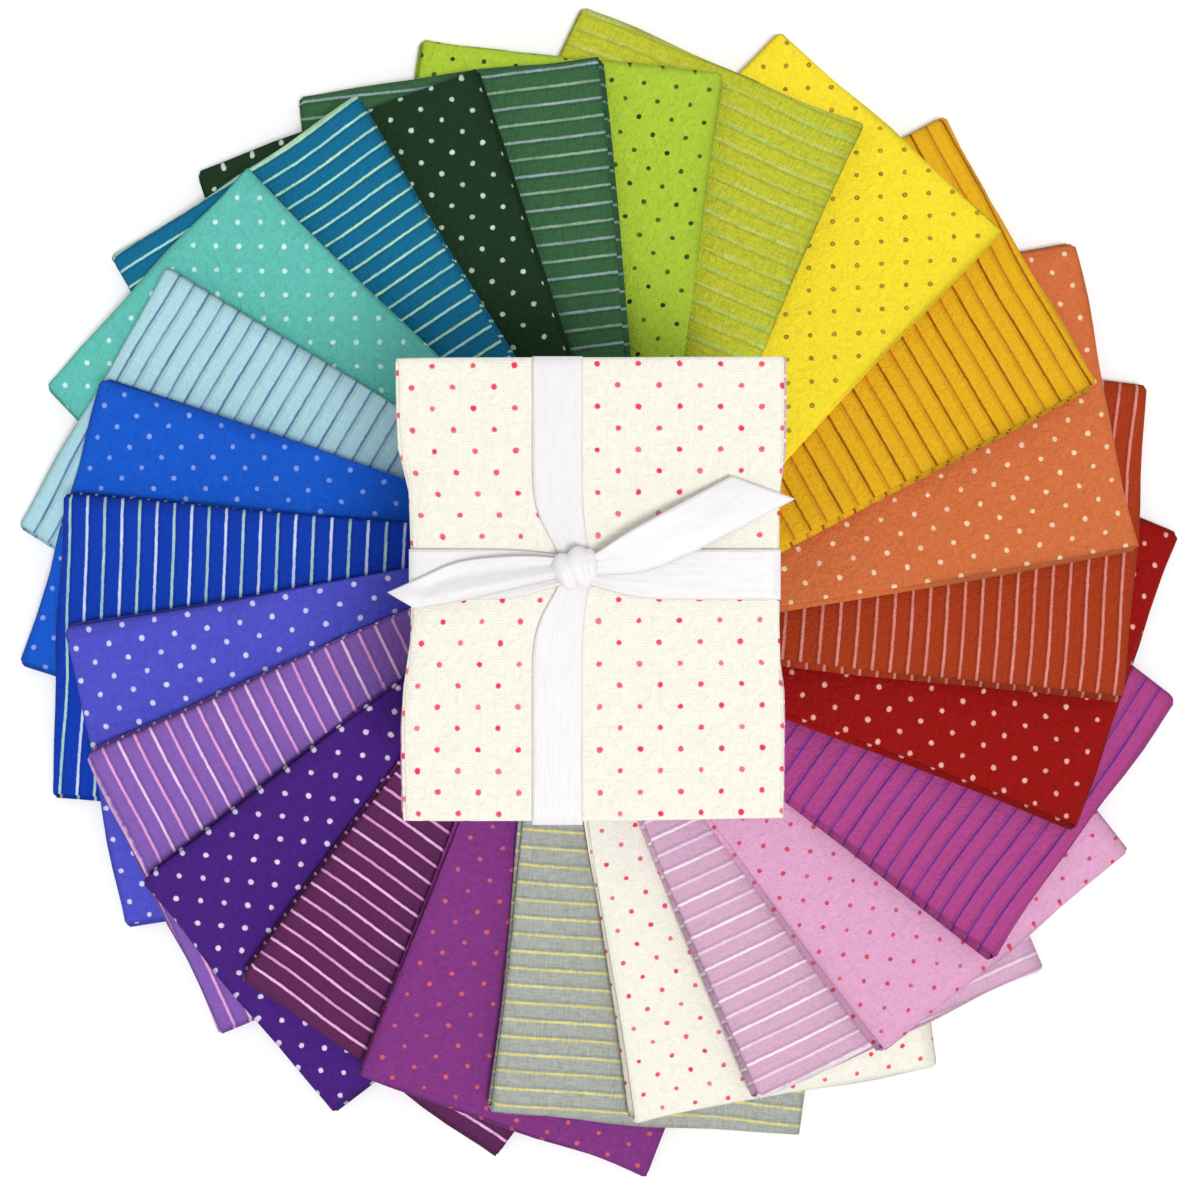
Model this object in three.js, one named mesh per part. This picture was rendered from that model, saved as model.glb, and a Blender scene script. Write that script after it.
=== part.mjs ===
// Fat quarter bundle: 24 folded fat quarters fanned out in a closed ring, with a second set of the
// same 24 cloths stacked on the middle of the ring and tied crosswise with a flat ribbon.
// Millimetres, +Z up, standing on z = 0. +Y is the far side of the fan, +X its right side.
import * as THREE from 'three';

// One cloth: an 18 x 22 inch cut, folded in four one way and in four the other way.
const CUT_LENGTH = 558.8;
const FOLDS = 4;
const PACKET_LENGTH = CUT_LENGTH / FOLDS;
const PACKET_WIDTH = 114.3;
// A run is the four thicknesses of the first folding. The second folding lays four runs to and fro.
const RUN = 1.0;
const SLIT = 0.15;
const PACKET_HEIGHT = FOLDS * RUN + (FOLDS - 1) * SLIT;
const FOLD_STEPS = 2;

// The fan: rise from one packet to the next, the share of it that lies flat on the table,
// and the strip along a packet's low edge that is seen to lie flat.
const FAN_PITCH = 6.3;
const FAN_FLAT_SHARE = 0.12;
const FAN_FLAT_STRIP = 3;
// Distance from the fan's centre to every packet's low edge line.
const FAN_LOW_EDGE = 98;
const FAN_CENTRE = { x: 0.93, y: 2.49 };
// Columns across a packet, and how much closer they stand toward its low edge.
const FAN_COLUMNS = 3;
const FAN_COLUMN_GRADE = 1.26;
const FAN_SHARES = [0, 0.25, 0.5, 0.75, 1];
// How far the lower outer fold may sit behind the upper one, and a run's edge beside the next.
const FOLD_SLIP = 2.2;
const EDGE_SLIP = 0.7;

// The stack: height of its underside, its place from the fan's centre, how loosely it is squared.
const STACK_BASE = 38.7;
const STACK_CENTRE = { x: -3.5, y: -2.4 };
const STACK_GAP = 0.3;
const STACK_PITCH = PACKET_HEIGHT + STACK_GAP;
const STACK_SHIFT = 0.9;
const STACK_TURN = THREE.MathUtils.degToRad(0.7);
const STACK_SHARES = [0, 0.5, 1];
// The tie draws the left and right edges in.
const WAIST = { left: 4.0, right: 1.5, halfLength: 60 };

// The ribbon and its crossing on top of the stack, from the stack's middle.
const RIBBON_WIDTH = 15;
const RIBBON_THICK = 1.0;
const RIBBON_GAP = 0.3;
const RIBBON_CORNER = 3;
const CROSSING = { x: -9.9, y: 4.5 };
const RIBBON_COLOUR = 0xf4f2ee;
const KNOT = { x: -4.5, y: 6.0, length: 15, width: 13, height: 6.6 };

// Cloths in clockwise order. heading: clockwise from +Y, degrees. reach: centre to outer fold.
// width: folded width.
const CLOTH_COLUMNS = ['name', 'colour', 'heading', 'reach', 'width'];
const CLOTH_ROWS = [
  ['lime_dot', 0xaad136, 8.5, 195, 114],
  ['lime_stripe', 0xc9ce2a, 24.5, 197, 115],
  ['yellow_dot', 0xffe92e, 44, 199, 113],
  ['gold_stripe', 0xefbe10, 62.5, 198, 116],
  ['orange_dot', 0xd86f35, 80.5, 199, 117],
  ['rust_stripe', 0xb2420f, 96.5, 198, 118],
  ['red_dot', 0xa30a08, 111.5, 197, 117],
  ['magenta_stripe', 0xbe3f96, 127.5, 200, 119],
  ['pink_dot', 0xe3a0d6, 143, 202, 119],
  ['blush_stripe', 0xdfa6d3, 157.5, 199, 118],
  ['cream_dot', 0xfff6e2, 171.5, 200, 116],
  ['grey_stripe', 0x9fafb2, 186.5, 200, 117],
  ['orchid_dot', 0x86288a, 201.5, 203, 115],
  ['plum_stripe', 0x5a1550, 217, 198, 117],
  ['violet_dot', 0x45108a, 233, 203, 113],
  ['lavender_stripe', 0x7f56b5, 246.5, 201, 116],
  ['iris_dot', 0x5448c8, 260.5, 200, 114],
  ['royal_stripe', 0x0a35c0, 275, 202, 113],
  ['blue_dot', 0x1557d0, 288.5, 200, 111],
  ['ice_stripe', 0xb3e0e3, 302, 200, 112],
  ['teal_dot', 0x4fbfa9, 315.5, 203, 112],
  ['ocean_stripe', 0x0a6a9a, 329.5, 202, 111],
  ['forest_dot', 0x16391f, 342, 197, 112],
  ['green_stripe', 0x2f6b3f, 355, 196, 114],
];
const FULL_TURN = 2 * Math.PI;
const CLOTHS = CLOTH_ROWS.map((row) => {
  const cloth = Object.fromEntries(CLOTH_COLUMNS.map((name, k) => [name, row[k]]));
  cloth.heading = THREE.MathUtils.degToRad(cloth.heading);
  cloth.innerEnd = cloth.reach - PACKET_LENGTH;
  return cloth;
});
const INNER_CORNER = Math.hypot(FAN_LOW_EDGE, Math.min(...CLOTHS.map((cloth) => cloth.innerEnd)));
// The stack goes through the same cloths, with the cream dots on top.
const STACK_TOP = CLOTHS.findIndex((cloth) => cloth.name === 'cream_dot');

// A repeatable unevenness between -1 and 1.
function wobble(a, b) {
  return Math.sin(12.9 * a + 78.2 * b + 1.3);
}

// Row of the fan at a bearing: whole on each packet's own heading, smooth between two headings,
// and counted on round the ring.
function rowAt(bearing) {
  const count = CLOTHS.length;
  const heading = (k) => {
    const turns = Math.floor(k / count);
    return CLOTHS[k - turns * count].heading + turns * FULL_TURN;
  };
  let row = count * Math.floor(bearing / FULL_TURN) - 1;
  while (heading(row + 1) <= bearing) row += 1;
  const [before, from, to, after] = [-1, 0, 1, 2].map((k) => heading(row + k));
  const share = (bearing - from) / (to - from);
  const rest = 1 - share;
  const leaving = (2 * (to - from)) / (to - before);
  const arriving = (2 * (to - from)) / (after - from);
  return row + share * (leaving * rest * rest + share * (3 - 2 * share - arriving * rest));
}

// Height of a packet's underside at a point. All low edges touch one circle, so the bearing where
// the low edge through a point comes from tells how many packets lie under it, and neighbours stay
// one pitch apart everywhere. Inside the packets' inner corners only the bearing counts.
function fanLift(x, y, row) {
  const heading = CLOTHS[row].heading;
  let bearing = Math.atan2(x, y);
  bearing += FULL_TURN * Math.round((heading - bearing) / FULL_TURN);
  const radius = Math.max(Math.hypot(x, y), INNER_CORNER);
  const under = rowAt(bearing + Math.asin(FAN_LOW_EDGE / radius)) - row;
  return FAN_PITCH * Math.max(0, under - FAN_FLAT_SHARE);
}

// The to-and-fro section of a packet, as stations on its middle line from the lowest run's free
// end to the top run's. turns holds where the section turns back after each run. A station has the
// ends of its run, its share of the way along it, its height, and the way its upper side faces.
function foldedSection(start, turns, finish, shares) {
  const rise = RUN + SLIT;
  const radius = rise / 2;
  const reach = radius + RUN / 2;
  const stations = [];
  let from = start;
  for (let run = 0; run < FOLDS; run += 1) {
    const last = run === FOLDS - 1;
    const way = run % 2 === 0 ? 1 : -1;
    const to = last ? finish : turns[run] - way * reach;
    const [inner, outer] = way > 0 ? [from, to] : [to, from];
    const z = RUN / 2 + run * rise;
    const ordered = way > 0 ? shares : [...shares].reverse();
    for (const share of ordered) stations.push({ inner, outer, share, z, past: 0, nu: 0, nz: way, run });
    if (last) break;
    for (let k = 1; k < FOLD_STEPS; k += 1) {
      const angle = (Math.PI * k) / FOLD_STEPS;
      const [sine, cosine] = [Math.sin(angle), Math.cos(angle)];
      stations.push({
        inner,
        outer,
        share: way > 0 ? 1 : 0,
        z: z + radius - radius * cosine,
        past: way * radius * sine,
        nu: -way * sine,
        nz: way * cosine,
        run: run + k / FOLD_STEPS,
      });
    }
    from = to;
  }
  return stations;
}

// A closed solid: a strip of even thickness that follows the stations, with its columns across.
// place turns a station, a column and a side (-1 under, 1 over) into a point.
function stripGeometry(stations, columns, place, crossed = () => false) {
  const last = { s: stations.length - 1, c: columns.length - 1 };
  const positions = [];
  for (const side of [-1, 1]) {
    for (const station of stations) {
      for (const column of columns) positions.push(...place(station, column, side));
    }
  }
  const at = (side, s, c) => (side * stations.length + s) * columns.length + c;
  const index = [];
  const quad = (a, b, c, d, turned) => {
    if (turned) index.push(a, b, d, b, c, d);
    else index.push(a, b, c, a, c, d);
  };
  for (let s = 0; s < last.s; s += 1) {
    const turned = crossed(stations[s]);
    for (let c = 0; c < last.c; c += 1) {
      quad(at(1, s, c), at(1, s + 1, c), at(1, s + 1, c + 1), at(1, s, c + 1), turned);
      quad(at(0, s, c), at(0, s, c + 1), at(0, s + 1, c + 1), at(0, s + 1, c), turned);
    }
    quad(at(0, s, 0), at(0, s + 1, 0), at(1, s + 1, 0), at(1, s, 0), false);
    quad(at(0, s, last.c), at(1, s, last.c), at(1, s + 1, last.c), at(0, s + 1, last.c), false);
  }
  for (let c = 0; c < last.c; c += 1) {
    quad(at(0, 0, c), at(1, 0, c), at(1, 0, c + 1), at(0, 0, c + 1), false);
    const s = last.s;
    quad(at(0, s, c), at(0, s, c + 1), at(1, s, c + 1), at(1, s, c), false);
  }
  const geometry = new THREE.BufferGeometry();
  geometry.setAttribute('position', new THREE.Float32BufferAttribute(positions, 3));
  geometry.setIndex(index);
  geometry.computeVertexNormals();
  return geometry;
}

function clothMesh(name, geometry, colour) {
  const material = new THREE.MeshStandardMaterial({ color: colour, roughness: 0.9, metalness: 0 });
  const mesh = new THREE.Mesh(geometry, material);
  mesh.name = name;
  return mesh;
}

// Place of a station along a run of the fan. Half of the shares lie inside the ring of the packets'
// inner corners, where the slope changes, and half outside it.
function alongFan({ inner, outer, share }, column) {
  const ring = Math.sqrt(Math.max(0, INNER_CORNER ** 2 - column ** 2));
  const bend = Math.max(ring, inner + FAN_FLAT_STRIP);
  if (share <= 0.5) return inner + (bend - inner) * 2 * share;
  const beyond = 2 * share - 1;
  return 1 / ((1 - beyond) / bend + beyond / outer);
}

// One packet of the fan: its low edge lies on the table and its other long edge rides up on the
// packets that follow it clockwise.
function fanPacket(row) {
  const cloth = CLOTHS[row];
  const slip = FOLD_SLIP * (0.55 + 0.45 * wobble(row, 1));
  const start = cloth.innerEnd + slip;
  const turns = [cloth.reach - slip, cloth.innerEnd, cloth.reach];
  const stations = foldedSection(start, turns, start, FAN_SHARES);
  const highEdge = FAN_LOW_EDGE - cloth.width;
  const span = cloth.width - FAN_FLAT_STRIP;
  const columns = Array.from({ length: FAN_COLUMNS + 1 }, (_, k) => {
    const share = (1 - k / FAN_COLUMNS) ** FAN_COLUMN_GRADE;
    return highEdge + span * (1 - share);
  });
  columns.push(FAN_LOW_EDGE);
  const [outX, outY] = [Math.sin(cloth.heading), Math.cos(cloth.heading)];
  const place = (station, column, side) => {
    const u = alongFan(station, column) + station.past + side * station.nu * (RUN / 2);
    const v = column + EDGE_SLIP * wobble(row, Math.round(station.run) + 3);
    const x = u * outX - v * outY;
    const y = u * outY + v * outX;
    const z = fanLift(x, y, row) + station.z + side * station.nz * (RUN / 2);
    return [x, y, z];
  };
  const crossed = (station) => Math.round(station.run) % 2 === 1;
  return clothMesh(`fan_${cloth.name}`, stripGeometry(stations, columns, place, crossed), cloth.colour);
}

// One packet of the stack, flat, with its folds at the near and far ends and a drawn-in waist.
function stackPacket(level) {
  const cloth = CLOTHS[(STACK_TOP + 1 + level) % CLOTHS.length];
  const half = PACKET_LENGTH / 2;
  const slip = FOLD_SLIP * (0.5 + 0.5 * wobble(level, 5));
  const turns = [half - slip, -half, half];
  const stations = foldedSection(slip - half, turns, slip - half, STACK_SHARES);
  const columns = [-PACKET_WIDTH / 2, PACKET_WIDTH / 2];
  const turn = STACK_TURN * wobble(level, 6);
  const place = (station, column, side) => {
    const middle = station.inner + (station.outer - station.inner) * station.share;
    const u = middle + station.past + side * station.nu * (RUN / 2);
    const draw = column < 0 ? WAIST.right : -WAIST.left;
    const pinch = Math.max(0, 1 - Math.abs(u - CROSSING.y) / WAIST.halfLength);
    const v = column + draw * pinch + EDGE_SLIP * wobble(level, Math.round(station.run) + 7);
    const x = STACK_SHIFT * wobble(level, 8) - v * Math.cos(turn) - u * Math.sin(turn);
    const y = STACK_SHIFT * wobble(level, 9) + u * Math.cos(turn) - v * Math.sin(turn);
    return [x, y, level * STACK_PITCH + station.z + side * station.nz * (RUN / 2)];
  };
  return clothMesh(`stack_${cloth.name}`, stripGeometry(stations, columns, place), cloth.colour);
}

const STACK_HEIGHT = CLOTHS.length * STACK_PITCH - STACK_GAP;
const SQUARING = STACK_SHIFT + EDGE_SLIP + RIBBON_GAP + (PACKET_LENGTH / 2) * Math.sin(STACK_TURN);

function roundedOutline(path, left, right, bottom, top, radius) {
  const quarter = Math.PI / 2;
  path.absarc(right - radius, top - radius, radius, 0, quarter);
  path.absarc(left + radius, top - radius, radius, quarter, 2 * quarter);
  path.absarc(left + radius, bottom + radius, radius, 2 * quarter, 3 * quarter);
  path.absarc(right - radius, bottom + radius, radius, 3 * quarter, 4 * quarter);
  path.closePath();
  return path;
}

// A flat ribbon loop round the stack, from its inside faces, extruded across the ribbon's width.
function ribbonLoop(name, left, right, clear) {
  const [bottom, top] = [-clear, STACK_HEIGHT + clear];
  const grown = RIBBON_THICK;
  const shape = new THREE.Shape();
  roundedOutline(shape, left - grown, right + grown, bottom - grown, top + grown, RIBBON_CORNER);
  const inside = new THREE.Path();
  shape.holes.push(roundedOutline(inside, left, right, bottom, top, RIBBON_CORNER - RIBBON_THICK));
  const options = { depth: RIBBON_WIDTH, bevelEnabled: false, curveSegments: 3 };
  const geometry = new THREE.ExtrudeGeometry(shape, options);
  geometry.translate(0, 0, -RIBBON_WIDTH / 2);
  return clothMesh(name, geometry, RIBBON_COLOUR);
}

// Tail sections: along the tail from the knot, height above the crossing ribbon, width,
// and how far the two edges run past the section toward the slanted cut.
const TAIL_SECTION = ['along', 'height', 'width', 'leftPast', 'rightPast'];
const TAILS = [
  {
    name: 'ribbon_tail_left',
    from: { x: KNOT.x, y: KNOT.y - 1.0 },
    bearing: THREE.MathUtils.degToRad(187.5),
    sections: [
      [6.9, 0.3, 7.0, 0, 0],
      [12, 0.3, 10.5, 0, 0],
      [20, 0.3, 13.5, 0, 0],
      [32, 0.3, 14.5, 0, 0],
      [44, 0.3, 15.0, 11.5, -8.5],
    ],
  },
  {
    name: 'ribbon_tail_right',
    from: { x: KNOT.x + 2.0, y: KNOT.y - 3.0 },
    bearing: THREE.MathUtils.degToRad(28.3),
    sections: [
      [6.9, 0.3, 7.0, 0, 0],
      [12, 0.5, 11.0, 0, 0],
      [20, 0.8, 14.0, 0, 0],
      [34, 0.8, 15.0, 0, 0],
      [48, 0.3, 15.0, 0, 0],
      [62, -0.9, 15.0, -7.4, 7.4],
    ],
  },
];

// A free end of the ribbon: gathered at the knot, opening to its full width, cut on a slant.
function ribbonTail({ name, from, bearing, sections }) {
  const floor = STACK_HEIGHT + 2 * (RIBBON_GAP + RIBBON_THICK);
  const stations = sections.map((row) => Object.fromEntries(TAIL_SECTION.map((key, k) => [key, row[k]])));
  const [alongX, alongY] = [Math.cos(bearing), Math.sin(bearing)];
  const place = (section, column, side) => {
    const u = section.along + (column > 0 ? section.leftPast : section.rightPast);
    const v = (column * section.width) / 2;
    const z = floor + section.height + ((side + 1) / 2) * RIBBON_THICK;
    return [from.x + u * alongX - v * alongY, from.y + u * alongY + v * alongX, z];
  };
  return clothMesh(name, stripGeometry(stations, [-1, 1], place), RIBBON_COLOUR);
}

// The half knot, a rounded lump with a flattened underside on the crossing of the two loops.
function ribbonKnot() {
  const geometry = new THREE.SphereGeometry(0.5, 12, 8);
  geometry.rotateX(Math.PI / 2);
  geometry.scale(KNOT.length, KNOT.width, KNOT.height);
  const base = STACK_HEIGHT + 2 * (RIBBON_GAP + RIBBON_THICK) + RIBBON_GAP;
  geometry.translate(KNOT.x, KNOT.y, base + KNOT.height / 2);
  return clothMesh('ribbon_knot', geometry, RIBBON_COLOUR);
}

const bundle = new THREE.Group();
bundle.position.set(FAN_CENTRE.x, FAN_CENTRE.y, 0);
for (let row = 0; row < CLOTHS.length; row += 1) bundle.add(fanPacket(row));

const stack = new THREE.Group();
stack.position.set(STACK_CENTRE.x, STACK_CENTRE.y, STACK_BASE);
for (let level = 0; level < CLOTHS.length; level += 1) stack.add(stackPacket(level));

const lengthwiseReach = PACKET_LENGTH / 2 + SQUARING;
const lengthwise = ribbonLoop('ribbon_lengthwise', -lengthwiseReach, lengthwiseReach, RIBBON_GAP);
lengthwise.rotation.set(Math.PI / 2, Math.PI / 2, 0);
lengthwise.position.x = CROSSING.x;
stack.add(lengthwise);

const crosswiseLeft = -(PACKET_WIDTH / 2 - WAIST.left + SQUARING);
const crosswiseRight = PACKET_WIDTH / 2 - WAIST.right + SQUARING;
const crosswiseClear = 2 * RIBBON_GAP + RIBBON_THICK;
const crosswise = ribbonLoop('ribbon_crosswise', crosswiseLeft, crosswiseRight, crosswiseClear);
crosswise.rotation.x = Math.PI / 2;
crosswise.position.y = CROSSING.y;
stack.add(crosswise);

stack.add(ribbonKnot());
for (const tail of TAILS) stack.add(ribbonTail(tail));
bundle.add(stack);

export default bundle;
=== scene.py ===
# Fat quarter bundle: a fan of 24 folded cottons, with the same 24 stacked and tied on its middle
import math
import bmesh
import bpy
import numpy as np
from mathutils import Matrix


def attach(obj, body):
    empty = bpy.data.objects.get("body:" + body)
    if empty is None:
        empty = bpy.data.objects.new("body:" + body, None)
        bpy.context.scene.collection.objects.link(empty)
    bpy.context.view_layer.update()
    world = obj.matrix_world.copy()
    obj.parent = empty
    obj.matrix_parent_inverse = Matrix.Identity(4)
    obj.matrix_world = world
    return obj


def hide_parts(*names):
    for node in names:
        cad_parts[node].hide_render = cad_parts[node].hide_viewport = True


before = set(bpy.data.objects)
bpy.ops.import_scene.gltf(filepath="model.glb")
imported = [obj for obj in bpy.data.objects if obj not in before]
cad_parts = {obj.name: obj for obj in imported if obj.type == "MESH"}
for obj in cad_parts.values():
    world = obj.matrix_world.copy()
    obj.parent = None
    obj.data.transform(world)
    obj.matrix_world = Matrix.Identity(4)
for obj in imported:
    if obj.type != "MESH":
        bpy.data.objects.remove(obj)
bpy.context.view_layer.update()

mm = 0.001
scene = bpy.context.scene
scene.view_settings.view_transform = "Standard"  # keeps the dyes as bright as they are

# Straight down on the fan, image up is +Y; focal length in pixels of the image, sensor and eye in mm
overhead = {"imageWidth": 1200, "focal": 1778.6, "sensor": 36, "eye": (0.18, -2.26, 680)}
camera = bpy.data.objects.new("overheadCamera", bpy.data.cameras.new("overheadCamera"))
camera.data.sensor_fit = "HORIZONTAL"
camera.data.sensor_width = overhead["sensor"]
camera.data.lens = overhead["sensor"] * overhead["focal"] / overhead["imageWidth"]
camera.data.clip_start = 0.01
camera.location = [c * mm for c in overhead["eye"]]
scene.collection.objects.link(camera)
scene.camera = camera
print("camera over the fan")


def linearColour(code):
    parts = [int(code[k:k + 2], 16) / 255 for k in (0, 2, 4)]
    return [c / 12.92 if c <= 0.04045 else ((c + 0.055) / 1.055) ** 2.4 for c in parts] + [1]


def addNode(tree, kind, inputs={}, **settings):
    node = tree.nodes.new("ShaderNode" + kind)
    for name, value in settings.items():
        setattr(node, name, value)
    for name, value in inputs.items():
        if isinstance(value, bpy.types.NodeSocket):
            tree.links.new(value, node.inputs[name])
        else:
            node.inputs[name].default_value = value
    return node


def newMaterial(name, finish):
    material = bpy.data.materials.new(name)
    material.use_nodes = True
    shader = material.node_tree.nodes["Principled BSDF"]
    for socket, value in finish.items():
        shader.inputs[socket].default_value = value
    return material, material.node_tree, shader


# The 24 cottons clockwise: heading in degrees from +Y, reach and folded width in mm,
# ground, motif, second motif, and the dot's diameter or the stripe's width in mm
cottonColumns = ("heading", "reach", "width", "ground", "motif", "second", "size")
cottonRows = {
    "lime_dot": (8.5, 195, 114, "b0ce3b", "16381c", "16381c", 1.8),
    "lime_stripe": (24.5, 197, 115, "c4c836", "b4cf70", "c2d478", 1.2),
    "yellow_dot": (44, 199, 113, "fbe330", "866f2c", "ccb244", 1.8),
    "gold_stripe": (62.5, 198, 116, "e9b21c", "9a5008", "c87818", 1.0),
    "orange_dot": (80.5, 199, 117, "d37140", "f8dab6", "f8dab6", 1.8),
    "rust_stripe": (96.5, 198, 118, "a83a18", "e08c80", "de948c", 1.0),
    "red_dot": (111.5, 197, 117, "960e0a", "f0b4ac", "f0b4ac", 1.8),
    "magenta_stripe": (127.5, 200, 119, "b0468a", "5c2c84", "6a3490", 0.9),
    "pink_dot": (143, 202, 119, "dfa5c9", "cc4452", "cc4452", 1.6),
    "blush_stripe": (157.5, 199, 118, "d7acc7", "fbeef8", "efd8ea", 0.95),
    "cream_dot": (171.5, 200, 116, "f3f0e3", "ea3a60", "ea3a60", 1.75),
    "grey_stripe": (186.5, 200, 117, "aaaea6", "e4da88", "e0d47c", 0.95),
    "orchid_dot": (201.5, 203, 115, "823682", "d8646a", "d8646a", 1.6),
    "plum_stripe": (217, 198, 117, "602858", "fac0ec", "f0a4d8", 1.0),
    "violet_dot": (233, 203, 113, "48207d", "e6dcf6", "e6dcf6", 1.95),
    "lavender_stripe": (246.5, 201, 116, "8860b6", "fccef2", "f0aade", 1.0),
    "iris_dot": (260.5, 200, 114, "5052c8", "dedafa", "dedafa", 1.95),
    "royal_stripe": (275, 202, 113, "0e3cb2", "d4e2fa", "b0d8cc", 1.0),
    "blue_dot": (288.5, 200, 111, "155ace", "8ea8f2", "8ea8f2", 1.8),
    "ice_stripe": (302, 200, 112, "b1dce5", "5c7ca6", "7090b4", 1.0),
    "teal_dot": (315.5, 203, 112, "64c3b6", "d2f8ec", "d2f8ec", 1.85),
    "ocean_stripe": (329.5, 202, 111, "126f96", "c4f0c4", "b8ecd8", 0.9),
    "forest_dot": (342, 197, 112, "1d3820", "cfe6d4", "cfe6d4", 1.8),
    "green_stripe": (355, 196, 114, "3c6843", "98b4a0", "a0b4bc", 0.95),
}
cottons = {name: dict(zip(cottonColumns, row)) for name, row in cottonRows.items()}
names = list(cottons)

perMetre = (1000, 1000, 1000)  # the cut map is in metres, the patterns are in mm
waveRepeat = 0.314  # how far apart a wave texture's lines stand at a scale of 1

# Threads are drawn 0.9 mm apart, three times as coarse as they are, to show at all
weave = {"thread": 0.9, "threadBend": 0.4, "threadRelief": 0.05,
         "slubStretch": (1.6, 0.2), "slubRange": (0.6, 1.4),
         "creaseSize": 9, "creaseBend": 0.8, "creaseRelief": 0.7,
         "crackleSize": 2.3, "crackleBend": 0.9, "crackleRange": (0.3, 0.7), "crackleRelief": 1.05,
         "wanderSize": 2.5, "inkPatch": 100 / 9, "inkRange": (0.35, 0.6),
         "paleHides": 0.75, "edgeShade": 0.66}
# slub: darkest and lightest thread, and how faint the print gets; crackle: how deep the painted shade in
# the fine creases goes
dotGrid = {"across": 12.25, "along": 12.9, "uneven": 1.1, "edge": 0.26, "ring": (0.35, 0.8),
           "slub": (0.97, 1.02, 0.8), "crackle": 0.1}
# beside: how far the painted shade sits from a stripe's middle, how far it reaches and how dark it gets
stripeGrid = {"pitch": 6.65, "sway": 0.5, "edge": 0.2, "beside": 1.15, "besideReach": (0.1, 0.9),
              "besideShade": 0.82, "slub": (0.91, 1.06, 0.8), "crackle": 0.03}
# Cloths of uneven yarn
slubby = {"lime_stripe": (0.7, 1.22, 0.2), "grey_stripe": (0.73, 1.21, 0.65),
          "green_stripe": (0.76, 1.2, 0.65)}


# Round dots: how far from the nearest one's middle, its radius, ground and motif
def dotPrint(tree, look, flat, wander):
    cell = (dotGrid["across"], dotGrid["along"], 1)
    placed = addNode(tree, "VectorMath", {0: flat, 1: cell}, operation="DIVIDE").outputs[0]
    reaches = []
    for start in (0, 0.5):  # two sets of dots, one in the middle of the other
        shift = {0: placed, 1: (start, start, 0)}
        moved = addNode(tree, "VectorMath", shift, operation="ADD").outputs[0]
        part = addNode(tree, "VectorMath", {0: moved}, operation="FRACTION").outputs[0]
        centred = {0: part, 1: (0.5, 0.5, 0)}
        off = addNode(tree, "VectorMath", centred, operation="SUBTRACT").outputs[0]
        span = addNode(tree, "VectorMath", {0: off, 1: cell}, operation="MULTIPLY").outputs[0]
        reaches.append(addNode(tree, "VectorMath", {0: span}, operation="LENGTH").outputs["Value"])
    both = {0: reaches[0], 1: reaches[1]}
    nearest = addNode(tree, "Math", both, operation="MINIMUM").outputs[0]
    strayed = {0: wander, 1: dotGrid["uneven"], 2: nearest}
    away = addNode(tree, "Math", strayed, operation="MULTIPLY_ADD").outputs[0]
    rim = (look["size"] + dotGrid["uneven"]) / 2
    inner, outer = dotGrid["ring"]
    middle = {0: away, 1: inner * rim, 2: outer * rim, 3: 0, 4: 1}
    ring = addNode(tree, "MapRange", middle, interpolation_type="SMOOTHSTEP").outputs[0]
    colours = {0: ring, 6: linearColour(look["second"]), 7: linearColour(look["motif"])}
    motif = addNode(tree, "Mix", colours, data_type="RGBA").outputs[2]
    return away, rim, linearColour(look["ground"]), motif


# Stripes across the cloth in two colours by turns, with painted shade in a hollow beside each: the same
# four as for dots
def stripePrint(tree, look, flat, wander):
    pitch = stripeGrid["pitch"]
    length = addNode(tree, "SeparateXYZ", {0: flat}).outputs["Y"]
    strayed = {0: wander, 1: stripeGrid["sway"], 2: length}
    swayed = addNode(tree, "Math", strayed, operation="MULTIPLY_ADD").outputs[0]
    turns = addNode(tree, "Math", {0: swayed, 1: pitch}, operation="DIVIDE").outputs[0]
    reaches = []
    for start in (0.5, 0.5 + stripeGrid["beside"] / pitch):  # the stripe, and the painted shade of a hollow beside it
        moved = addNode(tree, "Math", {0: turns, 1: start}, operation="SUBTRACT").outputs[0]
        aside = addNode(tree, "Math", {0: moved, 1: 0.5}, operation="PINGPONG").outputs[0]
        reaches.append(addNode(tree, "Math", {0: aside, 1: pitch}, operation="MULTIPLY").outputs[0])
    inner, outer = stripeGrid["besideReach"]
    paintedHollowShades = {0: reaches[1], 1: inner, 2: outer, 3: stripeGrid["besideShade"], 4: 1}
    paintedHollowShade = addNode(tree, "MapRange", paintedHollowShades, interpolation_type="SMOOTHSTEP").outputs[0]
    # painted shade beside each stripe, multiplied into the ground
    sunk = {0: 1.0, 6: linearColour(look["ground"]), 7: paintedHollowShade}
    ground = addNode(tree, "Mix", sunk, data_type="RGBA", blend_type="MULTIPLY").outputs[2]
    whole = addNode(tree, "Math", {0: turns}, operation="FLOOR").outputs[0]
    other = addNode(tree, "Math", {0: whole, 1: 2}, operation="MODULO").outputs[0]
    colours = {0: other, 6: linearColour(look["motif"]), 7: linearColour(look["second"])}
    motif = addNode(tree, "Mix", colours, data_type="RGBA").outputs[2]
    return reaches[0], look["size"] / 2, ground, motif
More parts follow.
